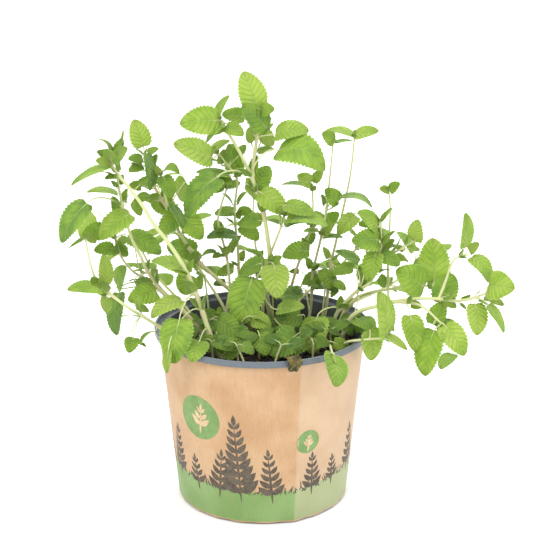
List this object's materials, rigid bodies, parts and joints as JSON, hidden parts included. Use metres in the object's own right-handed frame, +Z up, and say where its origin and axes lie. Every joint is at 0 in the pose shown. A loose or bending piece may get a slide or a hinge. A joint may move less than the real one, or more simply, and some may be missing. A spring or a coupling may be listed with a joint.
{
  "type": "potted herb",
  "caption": "Young leafy catnip plant in a round tapered nursery pot with a collar and a kraft paper sleeve, its square stems leaning out over the rim.",
  "frame": {"origin": "centre of the pot's base, on the floor", "axes": "+Z up along the pot's axis, -Y towards the front of the pot, +X to the right seen from the front"},
  "size_m": [0.2627, 0.1671, 0.2595],
  "materials": {
    "pot_plastic": "matte blue-grey",
    "sleeve_paper": "kraft, printed",
    "compost": "crumbly, moist",
    "dead_leaf": "dry, matte",
    "foliage": "downy green"
  },
  "bodies": {
    "root": {"pot": "pot_plastic", "paper_sleeve": "sleeve_paper", "compost": "compost", "withered_leaf": "dead_leaf", "leader_stem": "foliage", "back_left_stem": "foliage", "middle_thin_stem": "foliage", "left_branch_stem": "foliage", "front_left_stem": "foliage", "left_upright_stem": "foliage", "left_low_stem": "foliage", "far_left_stem": "foliage", "back_red_stem": "foliage", "right_tall_stem": "foliage", "right_back_stem": "foliage", "right_front_stem": "foliage", "right_arm_stem": "foliage", "right_low_stem": "foliage", "right_middle_stem": "foliage", "front_right_stem": "foliage", "front_right_low_stem": "foliage", "front_middle_stem": "foliage", "front_short_stem": "foliage", "centre_stem": "foliage", "rear_left_stem": "foliage", "rear_middle_stem": "foliage", "rear_right_stem": "foliage", "rear_far_right_stem": "foliage", "rear_far_left_stem": "foliage"}
  },
  "joints": []
}
